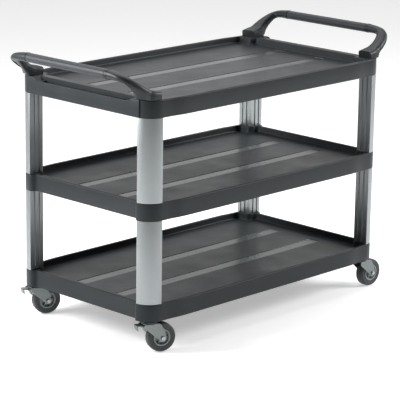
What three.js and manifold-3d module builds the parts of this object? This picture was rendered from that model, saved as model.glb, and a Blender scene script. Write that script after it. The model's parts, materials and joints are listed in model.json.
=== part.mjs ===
// Three-shelf food service trolley: moulded trays on aluminium corner posts,
// a push handle at each end and four swivel casters, two of them braked.
// Millimetres, +Z up, X along the trolley, origin on the floor under its middle.
import * as THREE from 'three';
import { mergeVertices } from 'three/addons/utils/BufferGeometryUtils.js';
import Module from 'manifold-3d';

const wasm = await Module();
wasm.setup();

// ---- driving dimensions ----
const GAP = 0.3;
const CUT = 1;

const SHELF_LENGTH = 1172;
const SHELF_WIDTH = 660;
const SHELF_HEIGHT = 60;
const SHELF_PITCH = 344;
const GROUND_CLEARANCE = 112;
const CORNER_RADIUS = 60;
const SIDE_BOW = 7;
const BOW_LENGTH = 122;
const END_RECESS = 17;
const END_BEND = 22;
const SKIRT_WALL = 4;

const TRAY_DEPTH = 24;
const TRAY_FLOOR = 5;
const TRAY_LEDGE = 12;
const TOP_END_LEDGE = 57;
const TRAY_CORNER_RADIUS = 30;
const STRIP_Y = 97;
const STRIP_WIDTH = 44;
const STRIP_LENGTH = 1000;
const STRIP_DEPTH = 1.2;
const RIB_WIDTH = 4;
const RIB_LOWER_EDGE = 20;
const RIB_X = [0, 240, 420];
const RIB_Y = 110;
const CORNER_BLOCK = 66;
const CORNER_BLOCK_UNDER = 95;
const HANDLE_SEAT = [80, 74];
const BLOCK_RADIUS = 22;

const SLOT_HALF_LENGTH = 205;
const SLOT_WIDTH = 26;
const FASCIA_PROUD = 3;
const FASCIA_HALF_LENGTH = 273;
const FASCIA_WALL = 5;
const NOTCH_DEPTH = 12;
const NOTCH_HALF_LENGTH = 222;
const NOTCH_RAMP = 16;

const POST_INSET = 0.6;
const POST_WALL = 6;
const POST_OUTER_WALL = 3.4;
const POST_GROOVE_WIDTH = 9;
const POST_GROOVE_DEPTH = 2.6;
const POST_GROOVE_AT = [20, 41];
const SPIGOT_HEIGHT = 10;

const GRIP_X = 651;
const GRIP_RISE = 81;
const GRIP_HALF = [17, 15.5];
const GRIP_CORE_HALF = [11.5, 10.5];
const GRIP_HALF_LENGTH = 190;
const COLLAR_HALF = [18.2, 16.7];
const COLLAR_LENGTH = 10;
const BOLT_RADIUS = 3;
const BOLT_HEAD_RADIUS = 6.5;
const BOLT_HEAD_HEIGHT = 5;
const BOLT_FROM_END = 36;
const BOLT_FROM_SIDE = 38;
const BOLT_DEPTH = 14;

const WHEEL_RADIUS = 50;
const TYRE_HALF_WIDTH = 18;
const TYRE_INNER_RADIUS = 30.6;
const HUB_RIM = [24.5, 30];
const HUB_RIM_HALF_WIDTH = 16.5;
const HUB_WEB_HALF_WIDTH = 4;
const HUB_BOSS_RADIUS = 13.5;
const HUB_HALF_WIDTH = 19.9;
const BUSH_RADIUS = 7.5;
const AXLE_RADIUS = 4;
const NUT_RADIUS = 8;
const NUT_HEIGHT = 6;
const CASTER_TRAIL = 40;
const CASTER_INSET = [41, 38];
const CASTER_REST_ANGLES = { front_left: -22, back_left: -20, front_right: -3, back_right: -14 };
const STEM_RADIUS = 6;
const STEM_LENGTH = 34;
const STEM_FLANGE_RADIUS = 21;
const STEM_FLANGE_HEIGHT = 3;
const STEM_HEAD_RADIUS = 10;
const RACE_RADIUS = 26;
const RACE_HEIGHT = 4.4;
const FORK_HEAD_RADIUS = 26;
const FORK_HEAD_HEIGHT = 4.4;
const FORK_THICKNESS = 3.2;
const FORK_INNER_HALF = 20.5;
const FORK_BOSS_RADIUS = 13;
const FORK_SHOULDER = [34, -22];
const PEDAL_PIN_X = -25;
const PEDAL_PIN_RADIUS = 2.5;
const PEDAL_PIN_DROP = 9.5;
const PEDAL_HALF_WIDTH = 14;
const PEDAL_REACH = 25;

// ---- derived levels ----
const HALF_LENGTH = SHELF_LENGTH / 2;
const HALF_WIDTH = SHELF_WIDTH / 2;
const CORNER_HALF_WIDTH = HALF_WIDTH - SIDE_BOW;
const POST_CENTRE = [HALF_LENGTH - CORNER_RADIUS, CORNER_HALF_WIDTH - CORNER_RADIUS];
const CASTER_AT = [HALF_LENGTH - CASTER_INSET[0], CORNER_HALF_WIDTH - CASTER_INSET[1]];
const FLOOR_TOP = SHELF_HEIGHT - TRAY_DEPTH;
const FLOOR_UNDER = FLOOR_TOP - TRAY_FLOOR;
const TOP_RIM = GROUND_CLEARANCE + 2 * SHELF_PITCH + SHELF_HEIGHT;
const BAY_HEIGHT = SHELF_PITCH - SHELF_HEIGHT;
const GRIP_Z = TOP_RIM + GRIP_RISE;
const STEM_FLANGE_TOP = GROUND_CLEARANCE - GAP;
const RACE_TOP = STEM_FLANGE_TOP - STEM_FLANGE_HEIGHT - GAP;
const RACE_UNDER = RACE_TOP - RACE_HEIGHT;
const FORK_TOP = RACE_UNDER - GAP;
const FORK_HEAD_UNDER = FORK_TOP - FORK_HEAD_HEIGHT;
const PEDAL_PIN_Z = FORK_TOP - PEDAL_PIN_DROP;

// ---- materials ----
const FINISHES = {
  moulding: { color: 0x4a4e51, roughness: 0.45, metalness: 0 },
  grip: { color: 0x5b5f64, roughness: 0.55, metalness: 0 },
  post: { color: 0xb4b8b8, roughness: 0.35, metalness: 0.9 },
  zinc: { color: 0xa9b1ae, roughness: 0.35, metalness: 0.9 },
  steel: { color: 0xc4c6c6, roughness: 0.25, metalness: 1 },
  tyre: { color: 0x3a3c3e, roughness: 0.8, metalness: 0 },
  hub: { color: 0x83888b, roughness: 0.5, metalness: 0 },
  bush: { color: 0xd8d6cc, roughness: 0.6, metalness: 0 },
};

function part(name, finish, geometry) {
  const mesh = new THREE.Mesh(geometry, new THREE.MeshStandardMaterial(FINISHES[finish]));
  mesh.name = name;
  return mesh;
}

// ---- solid helpers ----
function weld(geometry) {
  const bare = geometry.index ? geometry.toNonIndexed() : geometry.clone();
  bare.deleteAttribute('normal');
  bare.deleteAttribute('uv');
  const merged = mergeVertices(bare, 1e-4);
  const corners = merged.index.array;
  const kept = [];
  for (let i = 0; i < corners.length; i += 3) {
    const [a, b, c] = [corners[i], corners[i + 1], corners[i + 2]];
    if (a !== b && b !== c && c !== a) kept.push(a, b, c);
  }
  merged.setIndex(kept);
  return merged;
}

function solid(geometry) {
  const merged = weld(geometry);
  return new wasm.Manifold(new wasm.Mesh({
    numProp: 3,
    vertProperties: new Float32Array(merged.attributes.position.array),
    triVerts: new Uint32Array(merged.index.array),
  }));
}

function geometryOf(manifold) {
  const mesh = manifold.getMesh();
  const geometry = new THREE.BufferGeometry();
  geometry.setAttribute('position', new THREE.BufferAttribute(mesh.vertProperties, 3));
  geometry.setIndex(new THREE.BufferAttribute(mesh.triVerts, 1));
  geometry.computeVertexNormals();
  return geometry;
}

function prism(shape, z0, z1, curveSegments = 4) {
  const geometry = new THREE.ExtrudeGeometry(shape, { depth: z1 - z0, bevelEnabled: false, curveSegments });
  return geometry.translate(0, 0, z0);
}

function block(x0, x1, y0, y1, z0, z1) {
  const geometry = new THREE.BoxGeometry(x1 - x0, y1 - y0, z1 - z0);
  return geometry.translate((x0 + x1) / 2, (y0 + y1) / 2, (z0 + z1) / 2);
}

function disc(radius, z0, z1, sides) {
  const geometry = new THREE.CylinderGeometry(radius, radius, z1 - z0, sides);
  return geometry.rotateX(Math.PI / 2).translate(0, 0, (z0 + z1) / 2);
}

function crossBar(radius, x, z, y0, y1, sides) {
  const geometry = new THREE.CylinderGeometry(radius, radius, y1 - y0, sides);
  return geometry.translate(x, (y0 + y1) / 2, z);
}

// Revolves a closed [radius, height] profile; the height runs along Z.
function turned(profile, sides) {
  const points = profile.map(([radius, height]) => new THREE.Vector2(radius, height));
  if (profile[0][0] > 0) points.push(points[0].clone());
  return new THREE.LatheGeometry(points, sides).rotateX(Math.PI / 2);
}

// The same profile revolved about the Y axis, for wheels and axles.
function turnedAcross(profile, sides) {
  const points = profile.map(([radius, across]) => new THREE.Vector2(radius, across));
  if (profile[0][0] > 0) points.push(points[0].clone());
  return new THREE.LatheGeometry(points, sides);
}

function joined(solids) {
  return solids.reduce((all, one) => all.add(one));
}

// Calls make(signX, signY) for each of the four corners.
function atCorners(make) {
  return [[-1, -1], [-1, 1], [1, -1], [1, 1]].map(([sx, sy]) => make(sx, sy));
}

// ---- shelves ----
// Plan outline: round corners over the posts, long sides that bow out a little
// between them through a gentle S, and ends that step in behind the posts.
function shelfOutline(insetX, insetY, cornerRadius, recess = 0) {
  const hx = HALF_LENGTH - insetX;
  const hc = CORNER_HALF_WIDTH - insetY;
  const hs = HALF_WIDTH - insetY;
  const r = cornerRadius;
  const bend = HALF_LENGTH - CORNER_RADIUS;
  const straight = bend - BOW_LENGTH;
  const middle = (bend + straight) / 2;
  const turn = Math.min(hx - r, bend);
  const end = hc - r;
  const stepped = end - END_BEND;
  const halfway = (end + stepped) / 2;
  const shape = new THREE.Shape();
  shape.moveTo(hx - recess, -stepped);
  shape.lineTo(hx - recess, stepped);
  shape.bezierCurveTo(hx - recess, halfway, hx, halfway, hx, end);
  shape.absarc(hx - r, end, r, 0, Math.PI / 2);
  shape.lineTo(turn, hc);
  shape.bezierCurveTo(middle, hc, middle, hs, straight, hs);
  shape.lineTo(-straight, hs);
  shape.bezierCurveTo(-middle, hs, -middle, hc, -turn, hc);
  shape.absarc(-hx + r, end, r, Math.PI / 2, Math.PI);
  shape.bezierCurveTo(-hx, halfway, -hx + recess, halfway, -hx + recess, stepped);
  shape.lineTo(-hx + recess, -stepped);
  shape.bezierCurveTo(-hx + recess, -halfway, -hx, -halfway, -hx, -end);
  shape.absarc(-hx + r, -end, r, Math.PI, 1.5 * Math.PI);
  shape.lineTo(-turn, -hc);
  shape.bezierCurveTo(-middle, -hc, -middle, -hs, -straight, -hs);
  shape.lineTo(straight, -hs);
  shape.bezierCurveTo(middle, -hs, middle, -hc, turn, -hc);
  shape.absarc(hx - r, -end, r, 1.5 * Math.PI, 2 * Math.PI);
  shape.bezierCurveTo(hx, -halfway, hx - recess, -halfway, hx - recess, -stepped);
  return shape;
}

// A rectangle that fills one corner of the plan, its inward corner rounded.
function cornerPad(sx, sy, sizeX, sizeY, z0, z1) {
  const x1 = HALF_LENGTH + CUT;
  const y1 = HALF_WIDTH + CUT;
  const x0 = HALF_LENGTH - sizeX;
  const y0 = CORNER_HALF_WIDTH - sizeY;
  const shape = new THREE.Shape();
  shape.moveTo(x1, y0);
  shape.lineTo(x1, y1);
  shape.lineTo(x0, y1);
  shape.lineTo(x0, y0 + BLOCK_RADIUS);
  shape.absarc(x0 + BLOCK_RADIUS, y0 + BLOCK_RADIUS, BLOCK_RADIUS, Math.PI, 1.5 * Math.PI);
  let pad = solid(prism(shape, z0, z1, 3));
  if (sx < 0) pad = pad.mirror([1, 0, 0]);
  if (sy < 0) pad = pad.mirror([0, 1, 0]);
  return pad;
}

function cornerPads(outline, sizeX, sizeY, z0, z1) {
  const plan = solid(prism(outline, z0, z1));
  return joined(atCorners((sx, sy) => cornerPad(sx, sy, sizeX, sizeY, z0 - CUT, z1 + CUT))).intersect(plan);
}

function underRibs(recess) {
  const reach = SKIRT_WALL / 2;
  const end = HALF_LENGTH - recess - reach;
  const ribs = [-RIB_Y, RIB_Y].map((y) => solid(block(
    -end, end, y - RIB_WIDTH / 2, y + RIB_WIDTH / 2, RIB_LOWER_EDGE, FLOOR_UNDER + CUT,
  )));
  const stations = RIB_X.flatMap((x) => (x === 0 ? [0] : [-x, x]));
  for (const x of stations) {
    const halfSpan = x === 0 || Math.abs(x) < HALF_LENGTH / 2 ? HALF_WIDTH - reach : CORNER_HALF_WIDTH - reach;
    ribs.push(solid(block(
      x - RIB_WIDTH / 2, x + RIB_WIDTH / 2, -halfSpan, halfSpan, RIB_LOWER_EDGE, FLOOR_UNDER + CUT,
    )));
  }
  return joined(ribs);
}

// Quarter-round section of the post bore, shrunk by a clearance.
function postBore(clearance) {
  const flat = POST_WALL + clearance;
  const round = CORNER_RADIUS - POST_INSET - POST_OUTER_WALL - clearance;
  const start = Math.asin(flat / round);
  const shape = new THREE.Shape();
  shape.moveTo(flat, flat);
  shape.lineTo(round * Math.cos(start), flat);
  shape.absarc(0, 0, round, start, Math.PI / 2 - start);
  return shape;
}

function toCorner(geometry, sx, sy) {
  const turn = Math.atan2(sy, sx) - Math.PI / 4;
  return geometry.rotateZ(turn).translate(sx * POST_CENTRE[0], sy * POST_CENTRE[1], 0);
}

function spigots(z0, z1) {
  return joined(atCorners((sx, sy) => solid(toCorner(prism(postBore(0.4), z0, z1, 3), sx, sy))));
}

function moulding(recess, endLedge, seat) {
  const outline = shelfOutline(0, 0, CORNER_RADIUS, recess);
  const inside = shelfOutline(SKIRT_WALL, SKIRT_WALL, CORNER_RADIUS - SKIRT_WALL, recess);
  const tray = shelfOutline(recess + endLedge, TRAY_LEDGE, TRAY_CORNER_RADIUS);
  let body = solid(prism(outline, 0, SHELF_HEIGHT));
  body = body.subtract(solid(prism(inside, -CUT, FLOOR_UNDER)));
  body = body.subtract(solid(prism(tray, FLOOR_TOP, SHELF_HEIGHT + CUT)));
  body = body.add(cornerPads(outline, CORNER_BLOCK_UNDER, CORNER_BLOCK_UNDER, 0, FLOOR_UNDER + CUT));
  body = body.add(cornerPads(outline, seat[0], seat[1], FLOOR_UNDER, SHELF_HEIGHT));
  body = body.add(underRibs(recess));
  for (const y of [-STRIP_Y, STRIP_Y]) {
    body = body.subtract(solid(block(
      -STRIP_LENGTH / 2, STRIP_LENGTH / 2, y - STRIP_WIDTH / 2, y + STRIP_WIDTH / 2,
      FLOOR_TOP - STRIP_DEPTH, FLOOR_TOP + CUT,
    )));
  }
  return body;
}

// Both ends of the top shelf have a flat fascia with its middle lowered, and a slot
// behind it for hanging bins.
function fascia(sx) {
  const panel = block(
    HALF_LENGTH - FASCIA_WALL, HALF_LENGTH + FASCIA_PROUD, -FASCIA_HALF_LENGTH, FASCIA_HALF_LENGTH, 0, SHELF_HEIGHT,
  );
  return solid(panel).rotate([0, 0, sx < 0 ? 180 : 0]);
}

function hangerSlot(sx) {
  const outer = HALF_LENGTH + FASCIA_PROUD - FASCIA_WALL;
  const slot = solid(block(
    outer - SLOT_WIDTH, outer, -SLOT_HALF_LENGTH, SLOT_HALF_LENGTH, -CUT, SHELF_HEIGHT + CUT,
  ));
  const notch = new THREE.Shape();
  notch.moveTo(-NOTCH_HALF_LENGTH, SHELF_HEIGHT - NOTCH_DEPTH);
  notch.lineTo(NOTCH_HALF_LENGTH, SHELF_HEIGHT - NOTCH_DEPTH);
  notch.lineTo(NOTCH_HALF_LENGTH + NOTCH_RAMP, SHELF_HEIGHT + CUT);
  notch.lineTo(-NOTCH_HALF_LENGTH - NOTCH_RAMP, SHELF_HEIGHT + CUT);
  const depth = FASCIA_WALL + SLOT_WIDTH + CUT;
  const cut = new THREE.ExtrudeGeometry(notch, { depth, bevelEnabled: false });
  cut.rotateX(Math.PI / 2).rotateZ(Math.PI / 2).translate(outer - SLOT_WIDTH, 0, 0);
  return slot.add(solid(cut)).rotate([0, 0, sx < 0 ? 180 : 0]);
}

function slotWalls(sx) {
  const outer = HALF_LENGTH + FASCIA_PROUD - FASCIA_WALL;
  const wall = block(
    outer - SLOT_WIDTH - SKIRT_WALL, HALF_LENGTH, -SLOT_HALF_LENGTH - SKIRT_WALL, SLOT_HALF_LENGTH + SKIRT_WALL,
    RIB_LOWER_EDGE, FLOOR_UNDER + CUT,
  );
  return solid(wall).rotate([0, 0, sx < 0 ? 180 : 0]);
}

function boltHoles(radius, z0, z1) {
  const x = HALF_LENGTH - BOLT_FROM_END;
  const y = CORNER_HALF_WIDTH - BOLT_FROM_SIDE;
  return joined(atCorners((sx, sy) => solid(disc(radius, z0, z1, 12).translate(sx * x, sy * y, 0))));
}

function topShelf() {
  let body = moulding(0, TOP_END_LEDGE, HANDLE_SEAT);
  body = body.add(fascia(1)).add(fascia(-1)).add(slotWalls(1)).add(slotWalls(-1));
  body = body.subtract(hangerSlot(1)).subtract(hangerSlot(-1));
  body = body.add(spigots(-SPIGOT_HEIGHT, CUT));
  return body.subtract(boltHoles(BOLT_RADIUS + GAP, -SPIGOT_HEIGHT - CUT, SHELF_HEIGHT + CUT));
}

function middleShelf() {
  const body = moulding(END_RECESS, TRAY_LEDGE, [CORNER_BLOCK, CORNER_BLOCK]);
  return body.add(spigots(-SPIGOT_HEIGHT, CUT)).add(spigots(SHELF_HEIGHT - CUT, SHELF_HEIGHT + SPIGOT_HEIGHT));
}

// The caster stems plug into blind bores in the corner blocks.
function bottomShelf() {
  const body = moulding(END_RECESS, TRAY_LEDGE, [CORNER_BLOCK, CORNER_BLOCK]);
  const [x, y] = CASTER_AT;
  const bores = atCorners((sx, sy) => (
    solid(disc(STEM_RADIUS + GAP, -CUT, STEM_LENGTH + GAP, 16).translate(sx * x, sy * y, 0))
  ));
  return body.subtract(joined(bores)).add(spigots(SHELF_HEIGHT - CUT, SHELF_HEIGHT + SPIGOT_HEIGHT));
}

function shelves() {
  const makers = { shelf_bottom: bottomShelf, shelf_middle: middleShelf, shelf_top: topShelf };
  return Object.entries(makers).map(([name, make], level) => {
    const mesh = part(name, 'moulding', geometryOf(make()));
    mesh.position.z = GROUND_CLEARANCE + level * SHELF_PITCH;
    return mesh;
  });
}

// ---- posts ----
// Quarter-round extrusion: the curve faces out, two grooved flats face in.
function postSection() {
  const r = CORNER_RADIUS - POST_INSET;
  const half = POST_GROOVE_WIDTH / 2;
  const shape = new THREE.Shape();
  shape.moveTo(0, 0);
  for (const at of POST_GROOVE_AT) {
    shape.lineTo(at - half, 0);
    shape.lineTo(at - half, POST_GROOVE_DEPTH);
    shape.lineTo(at + half, POST_GROOVE_DEPTH);
    shape.lineTo(at + half, 0);
  }
  shape.absarc(0, 0, r, 0, Math.PI / 2);
  for (const at of [...POST_GROOVE_AT].reverse()) {
    shape.lineTo(0, at + half);
    shape.lineTo(POST_GROOVE_DEPTH, at + half);
    shape.lineTo(POST_GROOVE_DEPTH, at - half);
    shape.lineTo(0, at - half);
  }
  shape.holes.push(postBore(0));
  return shape;
}

function cornerName(sx, sy) {
  return `${sy < 0 ? 'front' : 'back'}_${sx < 0 ? 'left' : 'right'}`;
}

function posts() {
  const spans = { lower: 0, upper: 1 };
  return Object.entries(spans).flatMap(([span, level]) => atCorners((sx, sy) => {
    const geometry = toCorner(prism(postSection(), GAP, BAY_HEIGHT - GAP, 4), sx, sy);
    const mesh = part(`post_${span}_${cornerName(sx, sy)}`, 'post', geometry);
    mesh.position.z = GROUND_CLEARANCE + SHELF_HEIGHT + level * SHELF_PITCH;
    return mesh;
  }));
}

// ---- handles ----
const RING_SIDES = 12;

// One closed rounded-rectangle ring across a path; half = [sideways, upwards].
// A lift cuts the underside away, from nothing at the inner side to most at the outer.
function ring(centre, tangent, half, power, lift = 0) {
  const up = new THREE.Vector3(0, 0, 1).addScaledVector(tangent, -tangent.z).normalize();
  const side = new THREE.Vector3().crossVectors(up, tangent);
  const points = [];
  for (let i = 0; i < RING_SIDES; i += 1) {
    const angle = ((i + 0.5) / RING_SIDES) * 2 * Math.PI;
    const across = half[0] * Math.sign(Math.cos(angle)) * Math.abs(Math.cos(angle)) ** (2 / power);
    let rise = half[1] * Math.sign(Math.sin(angle)) * Math.abs(Math.sin(angle)) ** (2 / power);
    if (rise < 0) rise *= 1 - (lift * (1 + across / half[0])) / 2;
    points.push(centre.clone().addScaledVector(side, across).addScaledVector(up, rise));
  }
  return points;
}

// Skins a row of rings into one closed body with flat ends.
function loft(rings) {
  const positions = rings.flat().flatMap((p) => p.toArray());
  const faces = [];
  for (let k = 0; k + 1 < rings.length; k += 1) {
    for (let i = 0; i < RING_SIDES; i += 1) {
      const a = k * RING_SIDES + i;
      const b = k * RING_SIDES + ((i + 1) % RING_SIDES);
      faces.push(a, b, b + RING_SIDES, a, b + RING_SIDES, a + RING_SIDES);
    }
  }
  const last = (rings.length - 1) * RING_SIDES;
  for (let i = 1; i + 1 < RING_SIDES; i += 1) {
    faces.push(0, i + 1, i);
    faces.push(last, last + i, last + i + 1);
  }
  const geometry = new THREE.BufferGeometry();
  geometry.setAttribute('position', new THREE.Float32BufferAttribute(positions, 3));
  geometry.setIndex(faces);
  return geometry;
}

// Stations of one arm from its foot up to the bar: centre (height from the rim),
// half sizes across and up, squareness of the section, and lift of its outer underside.
const ARM = [
  { at: [529, 285, 0], half: [31, 25], power: 5, lift: 0 },
  { at: [552, 286, 4], half: [31, 26], power: 4.4, lift: 0 },
  { at: [574, 285, 13], half: [28, 24], power: 3.8, lift: 0.9 },
  { at: [594, 286, 29], half: [24.5, 20], power: 3.2, lift: 1.3 },
  { at: [615, 282, 46], half: [22, 17.5], power: 2.9, lift: 1.3 },
  { at: [637, 270, 64], half: [19.5, 15.5], power: 2.6, lift: 0.9 },
  { at: [649, 251, 75], half: [17, 14], power: 2.5, lift: 0.4 },
  { at: [GRIP_X, 228, 80], half: [17, 14], power: 2.4, lift: 0 },
];
const ARM_STEPS = 14;

function armStation(t) {
  const place = Math.min(t * (ARM.length - 1), ARM.length - 1 - 1e-6);
  const k = Math.floor(place);
  const f = place - k;
  const mix = (a, b) => a + (b - a) * f;
  const half = [0, 1].map((i) => mix(ARM[k].half[i], ARM[k + 1].half[i]));
  return { half, power: mix(ARM[k].power, ARM[k + 1].power), lift: mix(ARM[k].lift, ARM[k + 1].lift) };
}

function armRings(sy) {
  const curve = new THREE.CatmullRomCurve3(ARM.map(({ at }) => new THREE.Vector3(at[0], sy * at[1], TOP_RIM + at[2])));
  const rings = [];
  for (let i = 0; i <= ARM_STEPS; i += 1) {
    const t = i / ARM_STEPS;
    const { half, power, lift } = armStation(t);
    const tangent = t === 1 ? new THREE.Vector3(0, -sy, 0) : curve.getTangent(t);
    if (sy < 0) tangent.negate();
    rings.push(ring(curve.getPoint(t), tangent, half, power, lift));
  }
  return rings;
}

function barRing(y, half) {
  return ring(new THREE.Vector3(GRIP_X, y, GRIP_Z), new THREE.Vector3(0, -1, 0), half, 2.4);
}

// Arms, collars and the core of the bar are one moulding.
function handleMoulding() {
  const seam = GRIP_HALF_LENGTH;
  const collar = seam + COLLAR_LENGTH;
  const rings = [
    ...armRings(1),
    barRing(collar, GRIP_HALF),
    barRing(collar, COLLAR_HALF),
    barRing(seam, COLLAR_HALF),
    barRing(seam, GRIP_CORE_HALF),
    barRing(-seam, GRIP_CORE_HALF),
    barRing(-seam, COLLAR_HALF),
    barRing(-collar, COLLAR_HALF),
    barRing(-collar, GRIP_HALF),
    ...armRings(-1).reverse(),
  ];
  const seat = block(0, 2 * GRIP_X, -HALF_WIDTH, HALF_WIDTH, 0, TOP_RIM + GAP);
  const body = solid(loft(rings)).subtract(solid(seat));
  return body.subtract(boltHoles(BOLT_RADIUS + GAP, 0, TOP_RIM + BOLT_DEPTH + GAP));
}

function gripSleeve() {
  const points = barRing(0, GRIP_HALF).map((p) => new THREE.Vector2(p.x - GRIP_X, p.z - GRIP_Z));
  const shape = new THREE.Shape(points.reverse());
  const core = [GRIP_CORE_HALF[0] + GAP, GRIP_CORE_HALF[1] + GAP];
  shape.holes.push(new THREE.Path(barRing(0, core).map((p) => new THREE.Vector2(p.x - GRIP_X, p.z - GRIP_Z))));
  const length = 2 * (GRIP_HALF_LENGTH - GAP);
  const geometry = new THREE.ExtrudeGeometry(shape, { depth: length, bevelEnabled: false });
  return geometry.rotateX(Math.PI / 2).translate(GRIP_X, length / 2, GRIP_Z);
}

function handleBolt() {
  return turned([
    [0, -SPIGOT_HEIGHT - BOLT_HEAD_HEIGHT],
    [BOLT_HEAD_RADIUS, -SPIGOT_HEIGHT - BOLT_HEAD_HEIGHT],
    [BOLT_HEAD_RADIUS, -SPIGOT_HEIGHT - GAP],
    [BOLT_RADIUS, -SPIGOT_HEIGHT - GAP],
    [BOLT_RADIUS, SHELF_HEIGHT + BOLT_DEPTH],
    [0, SHELF_HEIGHT + BOLT_DEPTH],
  ], 12);
}

function handles() {
  const ends = { right: 0, left: Math.PI };
  const meshes = Object.entries(ends).flatMap(([end, turn]) => {
    const moulded = part(`handle_${end}`, 'moulding', geometryOf(handleMoulding()));
    const sleeve = part(`grip_${end}`, 'grip', gripSleeve());
    moulded.rotation.z = turn;
    sleeve.rotation.z = turn;
    return [moulded, sleeve];
  });
  const bolts = atCorners((sx, sy) => {
    const bolt = part(`handle_bolt_${cornerName(sx, sy)}`, 'steel', handleBolt());
    const x = HALF_LENGTH - BOLT_FROM_END;
    const y = CORNER_HALF_WIDTH - BOLT_FROM_SIDE;
    bolt.position.set(sx * x, sy * y, TOP_RIM - SHELF_HEIGHT);
    return bolt;
  });
  return [...meshes, ...bolts];
}

// ---- casters: built about the swivel axis, the wheel trailing towards +X ----
// Stem, flange and the riveted head that carries the fork.
function casterStem() {
  const headTop = FORK_HEAD_UNDER - GAP;
  return turned([
    [0, headTop - 4],
    [STEM_HEAD_RADIUS - 3, headTop - 4],
    [STEM_HEAD_RADIUS, headTop - 2],
    [STEM_HEAD_RADIUS, headTop],
    [STEM_RADIUS, headTop],
    [STEM_RADIUS, STEM_FLANGE_TOP - STEM_FLANGE_HEIGHT],
    [STEM_FLANGE_RADIUS, STEM_FLANGE_TOP - STEM_FLANGE_HEIGHT],
    [STEM_FLANGE_RADIUS, STEM_FLANGE_TOP],
    [STEM_RADIUS, STEM_FLANGE_TOP],
    [STEM_RADIUS, GROUND_CLEARANCE + STEM_LENGTH - 2],
    [STEM_RADIUS - 2, GROUND_CLEARANCE + STEM_LENGTH],
    [0, GROUND_CLEARANCE + STEM_LENGTH],
  ], 16);
}

function swivelRace() {
  const inner = STEM_RADIUS + GAP;
  return turned([
    [inner, RACE_UNDER],
    [RACE_RADIUS - 4, RACE_UNDER],
    [RACE_RADIUS, RACE_UNDER + 2],
    [RACE_RADIUS - 1.5, RACE_TOP],
    [inner, RACE_TOP],
  ], 20);
}

// Side view of a fork leg: wide under the head, tapering to the axle boss.
function legShape(braked) {
  const axle = new THREE.Vector2(CASTER_TRAIL, WHEEL_RADIUS);
  const shape = new THREE.Shape();
  const [front, rear] = FORK_SHOULDER;
  shape.moveTo(front - 8, FORK_TOP);
  shape.lineTo(rear, FORK_TOP);
  if (braked) {
    shape.absarc(PEDAL_PIN_X, PEDAL_PIN_Z, 5.5, 0.5 * Math.PI, 1.5 * Math.PI);
  }
  shape.lineTo(rear, FORK_TOP - 16);
  shape.absarc(axle.x, axle.y, FORK_BOSS_RADIUS, 1.18 * Math.PI, 2.02 * Math.PI);
  shape.lineTo(front + 12, FORK_TOP - 26);
  shape.lineTo(front, FORK_TOP - 6);
  const bore = new THREE.Path();
  bore.absarc(axle.x, axle.y, AXLE_RADIUS + GAP, 0, 2 * Math.PI, true);
  shape.holes.push(bore);
  return shape;
}

function fork(braked) {
  const leg = new THREE.ExtrudeGeometry(legShape(braked), {
    depth: FORK_THICKNESS, bevelEnabled: false, curveSegments: 4,
  }).rotateX(Math.PI / 2);
  const near = leg.clone().translate(0, -FORK_INNER_HALF, 0);
  const far = leg.translate(0, FORK_INNER_HALF + FORK_THICKNESS, 0);
  let body = solid(disc(FORK_HEAD_RADIUS, FORK_HEAD_UNDER, FORK_TOP, 20));
  body = body.add(solid(near)).add(solid(far));
  body = body.subtract(solid(disc(STEM_RADIUS + GAP, FORK_HEAD_UNDER - CUT, FORK_TOP + CUT, 16)));
  if (braked) {
    const reach = FORK_INNER_HALF + FORK_THICKNESS + CUT;
    const hole = crossBar(PEDAL_PIN_RADIUS + GAP, PEDAL_PIN_X, PEDAL_PIN_Z, -reach, reach, 12);
    body = body.subtract(solid(hole));
  }
  return geometryOf(body);
}

function axleBolt() {
  const face = FORK_INNER_HALF + FORK_THICKNESS;
  return turnedAcross([
    [0, -face - 5],
    [NUT_RADIUS - 1.5, -face - 5],
    [NUT_RADIUS - 0.5, -face - 4],
    [NUT_RADIUS - 0.5, -face - GAP],
    [AXLE_RADIUS, -face - GAP],
    [AXLE_RADIUS, face + NUT_HEIGHT + 2],
    [0, face + NUT_HEIGHT + 2],
  ], 12).translate(CASTER_TRAIL, 0, WHEEL_RADIUS);
}

function axleNut() {
  const face = FORK_INNER_HALF + FORK_THICKNESS;
  const hex = crossBar(NUT_RADIUS, CASTER_TRAIL, WHEEL_RADIUS, face + GAP, face + NUT_HEIGHT, 6);
  const bore = crossBar(AXLE_RADIUS + GAP, CASTER_TRAIL, WHEEL_RADIUS, face, face + NUT_HEIGHT + CUT, 12);
  return geometryOf(solid(hex).subtract(solid(bore)));
}

function axleBush() {
  const half = HUB_HALF_WIDTH + 0.2;
  return turnedAcross([
    [AXLE_RADIUS + GAP, -half],
    [BUSH_RADIUS, -half],
    [BUSH_RADIUS, half],
    [AXLE_RADIUS + GAP, half],
  ], 16).translate(CASTER_TRAIL, 0, WHEEL_RADIUS);
}

function wheelHub() {
  const bore = BUSH_RADIUS + GAP;
  const [rimInner, rimOuter] = HUB_RIM;
  return turnedAcross([
    [bore, -HUB_HALF_WIDTH],
    [HUB_BOSS_RADIUS, -HUB_HALF_WIDTH],
    [HUB_BOSS_RADIUS, -HUB_WEB_HALF_WIDTH],
    [rimInner, -HUB_WEB_HALF_WIDTH],
    [rimInner, -HUB_RIM_HALF_WIDTH],
    [rimOuter, -HUB_RIM_HALF_WIDTH],
    [rimOuter, HUB_RIM_HALF_WIDTH],
    [rimInner, HUB_RIM_HALF_WIDTH],
    [rimInner, HUB_WEB_HALF_WIDTH],
    [HUB_BOSS_RADIUS, HUB_WEB_HALF_WIDTH],
    [HUB_BOSS_RADIUS, HUB_HALF_WIDTH],
    [bore, HUB_HALF_WIDTH],
  ], 20).translate(CASTER_TRAIL, 0, WHEEL_RADIUS);
}

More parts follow.
